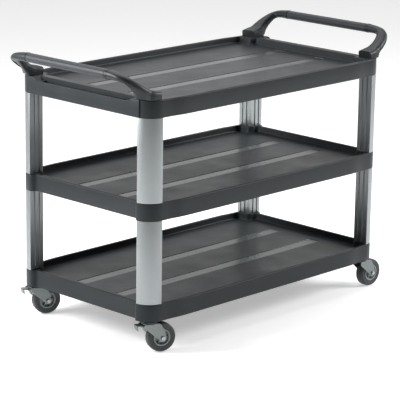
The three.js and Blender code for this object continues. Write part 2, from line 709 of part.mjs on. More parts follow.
function tyre() {
  const half = TYRE_HALF_WIDTH;
  return turnedAcross([
    [TYRE_INNER_RADIUS, -half],
    [WHEEL_RADIUS - 8, -half],
    [WHEEL_RADIUS - 2.5, -half + 4],
    [WHEEL_RADIUS, -half + 9],
    [WHEEL_RADIUS, half - 9],
    [WHEEL_RADIUS - 2.5, half - 4],
    [WHEEL_RADIUS - 8, half],
    [TYRE_INNER_RADIUS, half],
  ], 24).translate(CASTER_TRAIL, 0, WHEEL_RADIUS);
}

// Foot plate with a turned-down lip, pivot barrel, and the shoe behind it that
// swings towards the tyre.
function brakePedal() {
  const [x, z] = [PEDAL_PIN_X, PEDAL_PIN_Z];
  const tip = x - PEDAL_REACH;
  const shape = new THREE.Shape();
  shape.moveTo(x - 3, z + 4);
  shape.lineTo(tip + 2, z + 5);
  shape.lineTo(tip, z + 3);
  shape.lineTo(tip + 3, z - 13);
  shape.lineTo(tip + 6, z - 13);
  shape.lineTo(tip + 4, z + 1.5);
  shape.absarc(x, z, 4.5, Math.PI, 1.35 * Math.PI);
  shape.lineTo(x + 7, z - 20);
  shape.lineTo(x + 11, z - 18);
  shape.absarc(x, z, 4.5, -0.15 * Math.PI, 0.6 * Math.PI);
  const bore = new THREE.Path();
  bore.absarc(x, z, PEDAL_PIN_RADIUS + GAP, 0, 2 * Math.PI, true);
  shape.holes.push(bore);
  const width = 2 * PEDAL_HALF_WIDTH;
  const geometry = new THREE.ExtrudeGeometry(shape, { depth: width, bevelEnabled: false, curveSegments: 4 });
  return geometry.rotateX(Math.PI / 2).translate(0, PEDAL_HALF_WIDTH, 0);
}

function pedalPin() {
  const reach = FORK_INNER_HALF + FORK_THICKNESS + 1;
  return crossBar(PEDAL_PIN_RADIUS, PEDAL_PIN_X, PEDAL_PIN_Z, -reach, reach, 12);
}

function caster(sx, sy) {
  const corner = cornerName(sx, sy);
  const braked = sx < 0;
  const fixed = new THREE.Group();
  fixed.add(part(`caster_stem_${corner}`, 'steel', casterStem()));
  fixed.add(part(`swivel_race_${corner}`, 'zinc', swivelRace()));
  const swivel = new THREE.Group();
  swivel.rotation.z = THREE.MathUtils.degToRad(CASTER_REST_ANGLES[corner]);
  swivel.add(part(`fork_${corner}`, 'zinc', fork(braked)));
  swivel.add(part(`axle_bolt_${corner}`, 'steel', axleBolt()));
  swivel.add(part(`axle_nut_${corner}`, 'steel', axleNut()));
  swivel.add(part(`axle_bush_${corner}`, 'bush', axleBush()));
  swivel.add(part(`wheel_hub_${corner}`, 'hub', wheelHub()));
  swivel.add(part(`tyre_${corner}`, 'tyre', tyre()));
  if (braked) {
    swivel.add(part(`brake_pedal_${corner}`, 'zinc', brakePedal()));
    swivel.add(part(`pedal_pin_${corner}`, 'steel', pedalPin()));
  }
  const unit = new THREE.Group();
  unit.add(fixed, swivel);
  unit.position.set(sx * CASTER_AT[0], sy * CASTER_AT[1], 0);
  return unit;
}

const trolley = new THREE.Group();
trolley.add(...shelves(), ...posts(), ...handles(), ...atCorners(caster));

export default trolley;
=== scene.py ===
import json
import math

import bmesh
import bpy
from mathutils import Matrix, Vector
from mathutils.geometry import delaunay_2d_cdt


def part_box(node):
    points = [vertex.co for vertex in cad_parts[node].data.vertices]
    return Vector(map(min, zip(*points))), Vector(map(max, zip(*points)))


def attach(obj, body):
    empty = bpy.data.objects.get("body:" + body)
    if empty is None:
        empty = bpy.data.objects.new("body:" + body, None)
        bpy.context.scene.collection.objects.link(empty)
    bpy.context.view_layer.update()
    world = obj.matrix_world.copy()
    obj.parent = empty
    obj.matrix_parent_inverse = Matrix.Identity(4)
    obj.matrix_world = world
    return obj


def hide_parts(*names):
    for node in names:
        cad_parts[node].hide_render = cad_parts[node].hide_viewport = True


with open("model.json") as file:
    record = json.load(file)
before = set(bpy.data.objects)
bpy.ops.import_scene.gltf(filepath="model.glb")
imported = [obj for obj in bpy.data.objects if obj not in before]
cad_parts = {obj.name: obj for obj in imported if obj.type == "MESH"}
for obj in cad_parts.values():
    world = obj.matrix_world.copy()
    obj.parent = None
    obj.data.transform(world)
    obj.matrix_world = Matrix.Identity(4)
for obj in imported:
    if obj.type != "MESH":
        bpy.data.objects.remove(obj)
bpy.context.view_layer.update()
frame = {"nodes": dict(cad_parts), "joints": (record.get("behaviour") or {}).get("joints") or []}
MM = 0.001
GAP = 0.3 * MM
WELD = 1e-6
JOINTS = {joint["name"]: joint for joint in frame["joints"]}
CORNERS = {
    "front_left": (-1, -1),
    "front_right": (1, -1),
    "back_left": (-1, 1),
    "back_right": (1, 1),
}

# ---- sizes taken from the frame, with the two design sizes they need ----
FASCIA_PROUD = 3 * MM
SHELF_HEIGHT = 60 * MM
TOP_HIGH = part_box("shelf_top")[1]
HALF_LENGTH = TOP_HIGH.x - FASCIA_PROUD
HALF_WIDTH = TOP_HIGH.y
TOP_RIM = TOP_HIGH.z
POST_LOW, POST_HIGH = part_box("post_upper_front_left")
BAY = POST_HIGH.z - POST_LOW.z + 2 * GAP
SHELF_PITCH = BAY + SHELF_HEIGHT
SHELF_BASE = TOP_RIM - SHELF_HEIGHT - 2 * SHELF_PITCH

# ---- design sizes of the mouldings, shared with the CAD model ----
CORNER_RADIUS = 60 * MM
SIDE_BOW = 7 * MM
BOW_LENGTH = 122 * MM
END_RECESS = 17 * MM
END_BEND = 22 * MM
SKIRT_WALL = 4 * MM
TRAY_DEPTH = 24 * MM
FLOOR_THICK = 5 * MM
TRAY_LEDGE = 12 * MM
TOP_END_LEDGE = 57 * MM
FASCIA_HALF_LENGTH = 273 * MM
CORNER_HALF_WIDTH = HALF_WIDTH - SIDE_BOW
FLOOR_TOP = SHELF_HEIGHT - TRAY_DEPTH
FLOOR_UNDER = FLOOR_TOP - FLOOR_THICK
STRIP_Y = 97 * MM
STRIP_HALF_WIDTH = 22 * MM
STRIP_HALF_LENGTH = 500 * MM
STRIP_CORNER = 5 * MM
STRIP_SLOPE = 1 * MM
STRIP_DEPTH = 1.2 * MM
SLOT_WIDTH = 26 * MM
SLOT_HALF_LENGTH = 205 * MM
SLOT_X = HALF_LENGTH + FASCIA_PROUD - 5 * MM - SLOT_WIDTH
NOTCH_DEPTH = 12 * MM
NOTCH_HALF_LENGTH = 222 * MM
NOTCH_RAMP = 16 * MM
POST_CENTRE = (HALF_LENGTH - CORNER_RADIUS, CORNER_HALF_WIDTH - CORNER_RADIUS)
TOP_BLOCK, TOP_BLOCK_RADII = (80 * MM, 74 * MM), (11.5 * MM, 11 * MM)
LOWER_BLOCK, LOWER_BLOCK_RADII = (66 * MM, 66 * MM), (16 * MM, 20 * MM)
UNDER_BLOCK, UNDER_BLOCK_RADII = (95 * MM, 95 * MM), (6 * MM, 10 * MM)
RIB_HALF = 2 * MM
RIB_LOW, RIB_HIGH = 20 * MM, FLOOR_UNDER + 1 * MM
RIBS_ALONG_AT = (-110 * MM, 110 * MM)
RIBS_ACROSS_AT = (-420 * MM, -240 * MM, 0, 240 * MM, 420 * MM)

# ---- how finely curves are drawn ----
SHARP_ANGLE = math.radians(32)
MITRE_LIMIT = 0.3
BEVEL_PROFILE = 0.7
BOW_STEPS = 10
CORNER_STEPS = 16
POST_STEPS = 28
ARM_STEPS = 44
RING_SIDES = 32
WHEEL_SIDES = 96
TURNED_SIDES = 64
AXLE_SIDES = 32
PIN_SIDES = 24


# ---- mesh helpers ----
def finish_mesh(name, bm, material):
    bmesh.ops.remove_doubles(bm, verts=bm.verts, dist=WELD)
    bmesh.ops.recalc_face_normals(bm, faces=bm.faces)
    mesh = bpy.data.meshes.new(name)
    bm.to_mesh(mesh)
    bm.free()
    for polygon in mesh.polygons:
        polygon.use_smooth = True
    mesh.set_sharp_from_angle(angle=SHARP_ANGLE)
    mesh.materials.append(material)
    piece = bpy.data.objects.new(name, mesh)
    bpy.context.scene.collection.objects.link(piece)
    return piece


def place(piece, body, node):
    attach(piece, body)
    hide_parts(node)


def join(bm, other, name):
    """Empties another mesh in progress into this one."""
    mesh = bpy.data.meshes.new(name)
    other.to_mesh(mesh)
    other.free()
    bm.from_mesh(mesh)
    bpy.data.meshes.remove(mesh)


def bridge(bm, rings, closed=False, material_index=0):
    """Joins rows of points, each a closed ring, into a skin of quads."""
    rows = [[bm.verts.new(p) for p in points] for points in rings]
    if closed:
        rows.append(rows[0])
    for lower, upper in zip(rows, rows[1:]):
        count = len(lower)
        for i in range(count):
            j = (i + 1) % count
            face = bm.faces.new((lower[i], lower[j], upper[j], upper[i]))
            face.material_index = material_index
    return rows


def fill(bm, outlines, z, material_index=0):
    """Fills the flat region between a first outline and any holes inside it."""
    points, edges = [], []
    for outline in outlines:
        start = len(points)
        points += [Vector((p[0], p[1])) for p in outline]
        count = len(outline)
        edges += [(start + i, start + (i + 1) % count) for i in range(count)]
    inside_only, tolerance = 1, 1e-7
    coords, _, faces, *_ = delaunay_2d_cdt(points, edges, [], inside_only, tolerance)
    verts = [bm.verts.new((c.x, c.y, z)) for c in coords]
    for face in faces:
        centre = sum((coords[i] for i in face), Vector((0, 0))) / len(face)
        if all(not inside(centre, hole) for hole in outlines[1:]):
            new = bm.faces.new([verts[i] for i in face])
            new.material_index = material_index


def inside(point, outline):
    """Whether a point lies within a closed outline, by counting crossings."""
    hit = False
    for a, b in zip(outline, outline[1:] + outline[:1]):
        if (a[1] > point[1]) != (b[1] > point[1]):
            x = a[0] + (point[1] - a[1]) / (b[1] - a[1]) * (b[0] - a[0])
            hit ^= point[0] < x
    return hit


def offset(outline, inset):
    """Moves a counter-clockwise closed outline inwards by a distance."""
    moved = []
    count = len(outline)
    for i, p in enumerate(outline):
        before = Vector(p) - Vector(outline[i - 1])
        after = Vector(outline[(i + 1) % count]) - Vector(p)
        n0 = Vector((-before.y, before.x)).normalized()
        n1 = Vector((-after.y, after.x)).normalized()
        n = (n0 + n1).normalized()
        moved.append(tuple(Vector(p) + n * (inset / max(n.dot(n0), MITRE_LIMIT))))
    return moved


def at_height(outline, z):
    return [(p[0], p[1], z) for p in outline]


def rounded(corners, steps=6):
    """A closed outline through (x, y, radius) corners, each rounded by an arc."""
    points = []
    count = len(corners)
    for i, (x, y, radius) in enumerate(corners):
        here = Vector((x, y))
        if radius == 0:
            points.append((x, y))
            continue
        back = (Vector(corners[i - 1][:2]) - here).normalized()
        ahead = (Vector(corners[(i + 1) % count][:2]) - here).normalized()
        half = math.acos(max(-1, min(1, back.dot(ahead)))) / 2
        reach = radius / math.tan(half)
        centre = here + (back + ahead).normalized() * (radius / math.sin(half))
        start, end = here + back * reach - centre, here + ahead * reach - centre
        sweep = start.angle_signed(end)
        for k in range(steps + 1):
            turned = start.copy()
            turned.rotate(Matrix.Rotation(-sweep * k / steps, 2))
            points.append(tuple(centre + turned))
    return points


def bevel_sharp(bm, width, segments=2, angle=35, where=None):
    """Rounds the edges that fold by more than an angle, or those of them that where() picks."""
    limit = math.radians(angle)
    edges = [e for e in bm.edges if len(e.link_faces) == 2 and e.calc_face_angle(0) > limit]
    if where:
        edges = [e for e in edges if where(e)]
    bmesh.ops.bevel(
        bm, geom=edges, offset=width, segments=segments, profile=BEVEL_PROFILE,
        affect="EDGES", clamp_overlap=True,
    )


def prism(bm, outlines, z0, z1):
    """An upright solid on a first outline, with any further outlines as holes through it."""
    for outline in outlines:
        bridge(bm, [at_height(outline, z0), at_height(outline, z1)])
    fill(bm, outlines, z0)
    fill(bm, outlines, z1)
    bmesh.ops.remove_doubles(bm, verts=bm.verts, dist=WELD)
    bmesh.ops.recalc_face_normals(bm, faces=bm.faces)
    bmesh.ops.dissolve_limit(bm, angle_limit=math.radians(1), verts=bm.verts, edges=bm.edges)


def lathe(bm, profile, sides, across=False):
    """Turns a (radius, height) profile about Z, or about Y for wheels."""
    rings = []
    for radius, height in profile:
        ring = []
        for i in range(sides):
            a = 2 * math.pi * i / sides
            x, y = radius * math.cos(a), radius * math.sin(a)
            ring.append((x, height, y) if across else (x, y, height))
        rings.append(ring)
    if profile[0][0] > WELD:
        bridge(bm, rings, closed=True)
        return
    rows = bridge(bm, rings)
    for row in (rows[0], rows[-1]):
        bm.faces.new(row)


def both_sides(profile):
    """A (radius, height) profile followed by its mirror image below, as one closed loop."""
    return profile + [(x, -z) for x, z in reversed(profile)]


def arc(centre_x, centre_z, radius, start, end, steps):
    """Profile points along an arc, angles in degrees."""
    points = []
    for k in range(steps + 1):
        a = math.radians(start + (end - start) * k / steps)
        points.append((centre_x + radius * math.cos(a), centre_z + radius * math.sin(a)))
    return points


# ---- materials ----
DARK_STOP, LIGHT_STOP = 0.3, 0.7
CLOUD_SCALE = 9


def new_material(name):
    material = bpy.data.materials.new(name)
    material.use_nodes = True
    nodes, links = material.node_tree.nodes, material.node_tree.links
    shader = nodes["Principled BSDF"]
    coords = nodes.new("ShaderNodeTexCoord")
    return material, nodes, links, shader, coords


def stretched(nodes, links, coords, scale):
    mapping = nodes.new("ShaderNodeMapping")
    mapping.inputs["Scale"].default_value = scale
    links.new(coords.outputs["Object"], mapping.inputs["Vector"])
    return mapping


def noise(nodes, links, source, scale, detail):
    texture = nodes.new("ShaderNodeTexNoise")
    texture.inputs["Scale"].default_value = scale
    texture.inputs["Detail"].default_value = detail
    texture.inputs["Roughness"].default_value = 0.6
    links.new(source, texture.inputs["Vector"])
    return texture


def ramp(nodes, links, source, stops):
    node = nodes.new("ShaderNodeValToRGB")
    elements = node.color_ramp.elements
    elements[0].position, elements[0].color = stops[0][0], stops[0][1]
    elements[1].position, elements[1].color = stops[-1][0], stops[-1][1]
    for position, color in stops[1:-1]:
        elements.new(position).color = color
    links.new(source, node.inputs["Fac"])
    return node


def grey(value):
    return (value, value, value, 1)


def scaled(color, k):
    return (color[0] * k, color[1] * k, color[2] * k, 1)


def tone_and_gloss(nodes, links, shader, fac, tones, gloss):
    """Drives the colour and the roughness from one noise, between a low and a high value of each."""
    tone = ramp(nodes, links, fac, [(DARK_STOP, tones[0]), (LIGHT_STOP, tones[1])])
    links.new(tone.outputs["Color"], shader.inputs["Base Color"])
    shine = ramp(nodes, links, fac, [(DARK_STOP, grey(gloss[0])), (LIGHT_STOP, grey(gloss[1]))])
    links.new(shine.outputs["Color"], shader.inputs["Roughness"])


def bump(nodes, links, shader, height, strength, distance):
    node = nodes.new("ShaderNodeBump")
    node.inputs["Strength"].default_value = strength
    node.inputs["Distance"].default_value = distance
    links.new(height, node.inputs["Height"])
    links.new(node.outputs["Normal"], shader.inputs["Normal"])


def plastic(name, color, rough, grain_scale, grain, spread=0.12, specular=0.4):
    """Moulded plastic: fine grain in the surface, cloudy tone, uneven gloss."""
    material, nodes, links, shader, coords = new_material(name)
    shader.inputs["Specular IOR Level"].default_value = specular
    cloud = noise(nodes, links, coords.outputs["Object"], CLOUD_SCALE, 5)
    fine = noise(nodes, links, coords.outputs["Object"], grain_scale, 3)
    tone_and_gloss(
        nodes, links, shader, cloud.outputs["Fac"],
        (scaled(color, 1 - spread), scaled(color, 1 + spread)), (rough * 0.85, rough * 1.15),
    )
    bump(nodes, links, shader, fine.outputs["Fac"], grain, 0.25 * MM)
    return material


def metal(name, color, rough, stretch, grain_scale, grain, spread=0.08):
    """Drawn or plated metal: streaks along the stretch, mottled gloss."""
    material, nodes, links, shader, coords = new_material(name)
    shader.inputs["Metallic"].default_value = 1
    mapping = stretched(nodes, links, coords, stretch)
    streak = noise(nodes, links, mapping.outputs["Vector"], grain_scale, 4)
    tone_and_gloss(
        nodes, links, shader, streak.outputs["Fac"],
        (scaled(color, 1 - spread), scaled(color, 1 + spread)), (rough * 0.8, rough * 1.25),
    )
    bump(nodes, links, shader, streak.outputs["Fac"], grain, 0.1 * MM)
    return material


MOULDING = (0.0225, 0.0265, 0.029)
EVEN_GRAIN = (1, 1, 1)
UPRIGHT_GRAIN = (60, 60, 1.5)
MATERIALS = {
    "moulding": plastic("moulding", MOULDING, 0.4, 900, 0.12, specular=0.16),
    "tray_floor": plastic("tray_floor", MOULDING, 0.38, 700, 0.2, specular=0.14),
    # Strips: the moulding's own plastic, made glossier, with a base colour 1.3 times lighter as painted
    # sheen standing in for their grazing reflection.
    "strip_painted_sheen": plastic("strip_painted_sheen", scaled(MOULDING, 1.3), 0.24, 900, 0.05, specular=0.42),
    "handle": plastic("handle", scaled(MOULDING, 0.95), 0.4, 1100, 0.15, specular=0.24),
    "grip": plastic("grip", (0.034, 0.038, 0.045), 0.46, 1400, 0.2, specular=0.26),
    "post": metal("post", (0.31, 0.33, 0.335), 0.42, UPRIGHT_GRAIN, 12, 0.12, 0.04),
    "zinc": metal("zinc", (0.20, 0.225, 0.22), 0.42, EVEN_GRAIN, 160, 0.2),
    "steel": metal("steel", (0.36, 0.37, 0.37), 0.3, EVEN_GRAIN, 220, 0.1),
    "tyre": plastic("tyre", (0.05, 0.053, 0.055), 0.55, 800, 0.3, specular=0.3),
    "hub": plastic("hub", (0.24, 0.265, 0.265), 0.4, 700, 0.12),
    "bush": plastic("bush", (0.6, 0.58, 0.52), 0.5, 900, 0.1),
}


# ---- shelves ----
FLOOR_INDEX, STRIP_INDEX = 1, 2


def bend_along(t):
    """How far along an S bend has come, for t in 0..1."""
    return 1.5 * t - 1.5 * t * t + t ** 3


def bend_across(t):
    """How far sideways it has gone by then."""
    return 3 * t * t - 2 * t ** 3


def bow_points(corner_half, side_half):
    """Half of a long side, from the corner tangent to the straight stretch."""
    bend = HALF_LENGTH - CORNER_RADIUS
    points = []
    for k in range(BOW_STEPS + 1):
        t = k / BOW_STEPS
        x = bend - BOW_LENGTH * bend_along(t)
        points.append((x, corner_half + (side_half - corner_half) * bend_across(t)))
    return points


def mirrored(quadrant):
    """Repeats the outline of the first quadrant round all four, counter-clockwise."""
    second = [(-x, y, *radius) for x, y, *radius in reversed(quadrant)]
    third = [(-x, -y, *radius) for x, y, *radius in quadrant]
    fourth = [(x, -y, *radius) for x, y, *radius in reversed(quadrant)]
    return quadrant + second + third + fourth


def skirt_outline(is_top):
    """The outside of a shelf: the top one ends in a raised fascia, the others in a recess."""
    cx, cy = POST_CENTRE
    start = 0
    if is_top:
        start = math.asin((FASCIA_HALF_LENGTH - cy) / CORNER_RADIUS)
        quadrant = [(HALF_LENGTH + FASCIA_PROUD, FASCIA_HALF_LENGTH)]
    else:
        steps = [k / BOW_STEPS for k in range(BOW_STEPS)]
        quadrant = [(
            HALF_LENGTH - END_RECESS + END_RECESS * bend_across(t),
            cy - END_BEND + END_BEND * bend_along(t),
        ) for t in steps]
    for k in range(CORNER_STEPS + 1):
        a = start + (math.pi / 2 - start) * k / CORNER_STEPS
        quadrant.append((cx + CORNER_RADIUS * math.cos(a), cy + CORNER_RADIUS * math.sin(a)))
    quadrant += bow_points(CORNER_HALF_WIDTH, HALF_WIDTH)[1:]
    return mirrored(quadrant)


def notched_outline(end_inset, side_inset, block_x, block_y, hollow_radius, block_radius):
    """A tray or underside plan with a corner block standing in each corner."""
    end_x = HALF_LENGTH - end_inset
    corner_half = CORNER_HALF_WIDTH - side_inset
    side_half = HALF_WIDTH - side_inset
    bx = HALF_LENGTH - block_x
    by = CORNER_HALF_WIDTH - block_y
    side_from = bx - hollow_radius - 2 * MM
    side = [(x, y, 0) for x, y in bow_points(corner_half, side_half) if x < side_from]
    return rounded(mirrored([
        (end_x, by, hollow_radius), (bx, by, block_radius), (bx, corner_half, hollow_radius), *side,
    ]))


def strip_outline(side, grow):
    hx, hy = STRIP_HALF_LENGTH + grow, STRIP_HALF_WIDTH + grow
    y = side * STRIP_Y
    corners = [(hx, y + hy), (-hx, y + hy), (-hx, y - hy), (hx, y - hy)]
    return rounded([(*corner, STRIP_CORNER) for corner in corners])


def slab(bm, x0, x1, y0, y1, z0, z1):
    """A box between two limits along each axis."""
    corners = [(x, y, z) for z in (z0, z1) for x, y in ((x0, y0), (x1, y0), (x1, y1), (x0, y1))]
    verts = [bm.verts.new(c) for c in corners]
    for quad in ((0, 3, 2, 1), (4, 5, 6, 7), (0, 1, 5, 4), (1, 2, 6, 5), (2, 3, 7, 6), (3, 0, 4, 7)):
        bm.faces.new([verts[i] for i in quad])


def under_ribs(bm, reach):
    """The crossing ribs under a tray's floor; reach is the half length of the long ones."""
    for y in RIBS_ALONG_AT:
        slab(bm, -reach, reach, y - RIB_HALF, y + RIB_HALF, RIB_LOW, RIB_HIGH)
    for x in RIBS_ACROSS_AT:
        span = (HALF_WIDTH if abs(x) < HALF_LENGTH / 2 else CORNER_HALF_WIDTH) - SKIRT_WALL / 2
        slab(bm, x - RIB_HALF, x + RIB_HALF, -span, span, RIB_LOW, RIB_HIGH)


def shelf(is_top, recess, end_ledge, block, radii):
    """One closed skin: skirt, rim, tray walls, floor with its strips, foot and underside."""
    outer = skirt_outline(is_top)
    tray = notched_outline(recess + end_ledge, TRAY_LEDGE, *block, *radii)
    under = notched_outline(recess + SKIRT_WALL, SKIRT_WALL, *UNDER_BLOCK, *UNDER_BLOCK_RADII)
    top = SHELF_HEIGHT
    bm = bmesh.new()
    rim, lip, foot = 4.5 * MM, 3 * MM, 1.5 * MM
    wall = [(foot, 0), (foot - foot * 0.7, foot * 0.3), (0, foot)]
    wall += [(rim - x, top - rim + z) for x, z in arc(0, 0, rim, 0, 90, 5)]
    bridge(bm, [at_height(offset(outer, inset), z) for inset, z in wall])
    fill(bm, [offset(outer, rim), offset(tray, -lip)], top)
    fillet, draft = 7 * MM, 2 * MM
    inner = [(-lip + x, top - lip + z) for x, z in arc(0, 0, lip, 90, 0, 4)]
    inner += [(draft + fillet + x, FLOOR_TOP + fillet + z) for x, z in arc(0, 0, fillet, 180, 270, 6)]
    bridge(bm, [at_height(offset(tray, inset), z) for inset, z in inner])
    strips = [strip_outline(side, STRIP_SLOPE) for side in (-1, 1)]
    fill(bm, [offset(tray, draft + fillet), *strips], FLOOR_TOP, FLOOR_INDEX)
    strip_z = FLOOR_TOP - STRIP_DEPTH
    for side, upper in zip((-1, 1), strips):
        low = strip_outline(side, 0)
        bridge(bm, [at_height(upper, FLOOR_TOP), at_height(low, strip_z)], material_index=STRIP_INDEX)
        fill(bm, [low], strip_z, STRIP_INDEX)
    chamfer = 1 * MM
    mouth, roof = offset(under, -chamfer), offset(under, 1.5 * MM)
    fill(bm, [offset(outer, foot), mouth], 0)
    bridge(bm, [at_height(mouth, 0), at_height(under, chamfer), at_height(roof, FLOOR_UNDER)])
    fill(bm, [roof], FLOOR_UNDER)
    return bm


def hanger_cuts(bm, name):
    """Cuts the hanging slots and lowers the fascia at both ends of the top shelf."""
    over = 10 * MM
    body = finish_mesh(name + "_body", bm, MATERIALS["moulding"])
    for index in ("tray_floor", "strip_painted_sheen"):
        body.data.materials.append(MATERIALS[index])
    cutter_bm = bmesh.new()
    for side in (-1, 1):
        a, b = sorted((side * SLOT_X, side * (SLOT_X + SLOT_WIDTH)))
        slab(cutter_bm, a, b, -SLOT_HALF_LENGTH, SLOT_HALF_LENGTH, -over, SHELF_HEIGHT + over)
    slots = finish_mesh(name + "_slots", cutter_bm, MATERIALS["moulding"])
    cutter_bm = bmesh.new()
    for side in (-1, 1):
        x0 = side * SLOT_X
        x1 = side * (HALF_LENGTH + over)
        foot, top = NOTCH_HALF_LENGTH, NOTCH_HALF_LENGTH + NOTCH_RAMP * (1 + over / NOTCH_DEPTH)
        low_z, high_z = SHELF_HEIGHT - NOTCH_DEPTH, SHELF_HEIGHT + over
        corners = ((-foot, low_z), (foot, low_z), (top, high_z), (-top, high_z))
        verts = bridge(cutter_bm, [[(x, y, z) for y, z in corners] for x in (x0, x1)])
        cutter_bm.faces.new(verts[0])
        cutter_bm.faces.new(verts[1])
    notches = finish_mesh(name + "_notches", cutter_bm, MATERIALS["moulding"])
    for cutter in (slots, notches):
        modifier = body.modifiers.new("cut", "BOOLEAN")
        modifier.operation = "DIFFERENCE"
        modifier.solver = "EXACT"
        modifier.object = cutter
    bpy.context.view_layer.update()
    evaluated = body.evaluated_get(bpy.context.evaluated_depsgraph_get())
    result = bmesh.new()
    result.from_mesh(evaluated.to_mesh())
    for gone in (body, slots, notches):
        bpy.data.objects.remove(gone)
    bmesh.ops.remove_doubles(result, verts=result.verts, dist=WELD)
    edge_x = SLOT_X - 1 * MM
    edge_y = NOTCH_HALF_LENGTH + NOTCH_RAMP + 4 * MM
    edge_z = SHELF_HEIGHT - NOTCH_DEPTH - 1 * MM

    def at_slot(edge):
        points = [v.co for v in edge.verts]
        return all(abs(p.x) > edge_x and abs(p.y) < edge_y and p.z > edge_z for p in points)

    bevel_sharp(result, 1.2 * MM, segments=3, angle=25, where=at_slot)
    return result


def make_shelf(name, level):
    is_top = name == "shelf_top"
    block = TOP_BLOCK if is_top else LOWER_BLOCK
    radii = TOP_BLOCK_RADII if is_top else LOWER_BLOCK_RADII
    recess = 0 if is_top else END_RECESS
    bm = shelf(is_top, recess, TOP_END_LEDGE if is_top else TRAY_LEDGE, block, radii)
    if is_top:
        bmesh.ops.remove_doubles(bm, verts=bm.verts, dist=WELD)
        bmesh.ops.recalc_face_normals(bm, faces=bm.faces)
        bm = hanger_cuts(bm, name)
    reach = HALF_LENGTH - recess - SKIRT_WALL / 2
    if is_top:
        reach = SLOT_X - SKIRT_WALL
        for side in (-1, 1):
            x0, x1 = sorted((side * reach, side * (reach + SKIRT_WALL - 0.5 * MM)))
            slab(bm, x0, x1, -SLOT_HALF_LENGTH, SLOT_HALF_LENGTH, RIB_LOW, RIB_HIGH)
    under_ribs(bm, reach)
    bmesh.ops.translate(bm, verts=bm.verts, vec=(0, 0, SHELF_BASE + level * SHELF_PITCH))
    piece = finish_mesh("tray_" + name.split("_")[1], bm, MATERIALS["moulding"])
    piece.data.materials.append(MATERIALS["tray_floor"])
    piece.data.materials.append(MATERIALS["strip_painted_sheen"])
    place(piece, "root", name)


for level_index, shelf_name in enumerate(("shelf_bottom", "shelf_middle", "shelf_top")):
    make_shelf(shelf_name, level_index)


# ---- posts ----
POST_RADIUS = CORNER_RADIUS - 0.6 * MM
GROOVE_HALF, GROOVE_DEPTH = 4.5 * MM, 2.6 * MM
GROOVES_AT = (20 * MM, 41 * MM)


def post_section():
    """A quarter round with two grooves in each of its flat faces."""
    flat = [(0, 0)]
    for at in GROOVES_AT:
        start, end = at - GROOVE_HALF, at + GROOVE_HALF
        flat += [(start, 0), (start, GROOVE_DEPTH), (end, GROOVE_DEPTH), (end, 0)]
    curve = arc(0, 0, POST_RADIUS, 0, 90, POST_STEPS)
    other = [(y, x) for x, y in reversed(flat[1:])]
    return flat + curve + other


def make_post(span, corner):
    sx, sy = CORNERS[corner]
    node = f"post_{span}_{corner}"
    low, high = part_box(node)
    bm = bmesh.new()
    prism(bm, [post_section()], low.z, high.z)
    bevel_sharp(bm, 0.5 * MM, 2, 40)
    turn = math.atan2(sy, sx) - math.pi / 4
    centre = Matrix.Translation((sx * POST_CENTRE[0], sy * POST_CENTRE[1], 0))
    bmesh.ops.transform(bm, matrix=centre @ Matrix.Rotation(turn, 4, "Z"), verts=bm.verts)
    piece = finish_mesh(node.replace("post", "extrusion"), bm, MATERIALS["post"])
    place(piece, "root", node)


for span_name in ("lower", "upper"):
    for corner_name in CORNERS:
        make_post(span_name, corner_name)


# ---- handles ----
GRIP_LOW, GRIP_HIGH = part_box("grip_right")
GRIP_X = (GRIP_LOW.x + GRIP_HIGH.x) / 2
GRIP_Z = (GRIP_LOW.z + GRIP_HIGH.z) / 2
GRIP_HALF = (17 * MM, 15.5 * MM)
GRIP_END = GRIP_HIGH.y + GAP
HANDLE_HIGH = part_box("handle_right")[1]
COLLAR_HALF = (HANDLE_HIGH.x - GRIP_X, HANDLE_HIGH.z - GRIP_Z)
COLLAR_END = GRIP_END + 10 * MM
BAR_HALF = (11.5 * MM, 10.5 * MM)
BAR_POWER = 2.4
GRIP_WALL = 5 * MM

# Stations of an arm from its foot to the bar, in mm and above the top shelf's rim:
# centre, half width and half height, squareness, lift of the outer underside.
ARM = [
    ((529, 285, 0), (31, 25), 5, 0),
    ((552, 286, 4), (31, 26), 4.4, 0),
    ((574, 285, 13), (28, 24), 3.8, 0.9),
    ((594, 286, 29), (24.5, 20), 3.2, 1.3),
    ((615, 282, 46), (22, 17.5), 2.9, 1.3),
    ((637, 270, 64), (19.5, 15.5), 2.6, 0.9),
    ((649, 251, 75), (17, 14), 2.5, 0.4),
    ((651, 228, 80), (17, 14), 2.4, 0),
]


def ring(centre, tangent, half, power, lift=0.0):
    """A rounded section; lift cuts its underside away towards the outer side."""
    up = (Vector((0, 0, 1)) - tangent * tangent.z).normalized()
    side = up.cross(tangent)
    points = []
    for i in range(RING_SIDES):
        a = 2 * math.pi * i / RING_SIDES
        c, s = math.cos(a), math.sin(a)
        across = half[0] * math.copysign(abs(c) ** (2 / power), c)
        rise = half[1] * math.copysign(abs(s) ** (2 / power), s)
        if rise < 0:
            rise *= 1 - lift * (1 + across / half[0]) / 2
        points.append(tuple(centre + side * across + up * rise))
    return points


def spline(values, t):
    """Catmull-Rom value at t in 0..1 through a row of vectors."""
    last = len(values) - 1
    along = min(t * last, last - 1e-6)
    k = int(along)
    f = along - k
    p1, p2 = values[k], values[k + 1]
    p0 = values[k - 1] if k > 0 else p1 * 2 - p2
    p3 = values[k + 2] if k + 2 < len(values) else p2 * 2 - p1
    square = (2 * p0 - 5 * p1 + 4 * p2 - p3) * f ** 2
    cube = (3 * p1 - p0 - 3 * p2 + p3) * f ** 3
    return 0.5 * (2 * p1 + (p2 - p0) * f + square + cube)


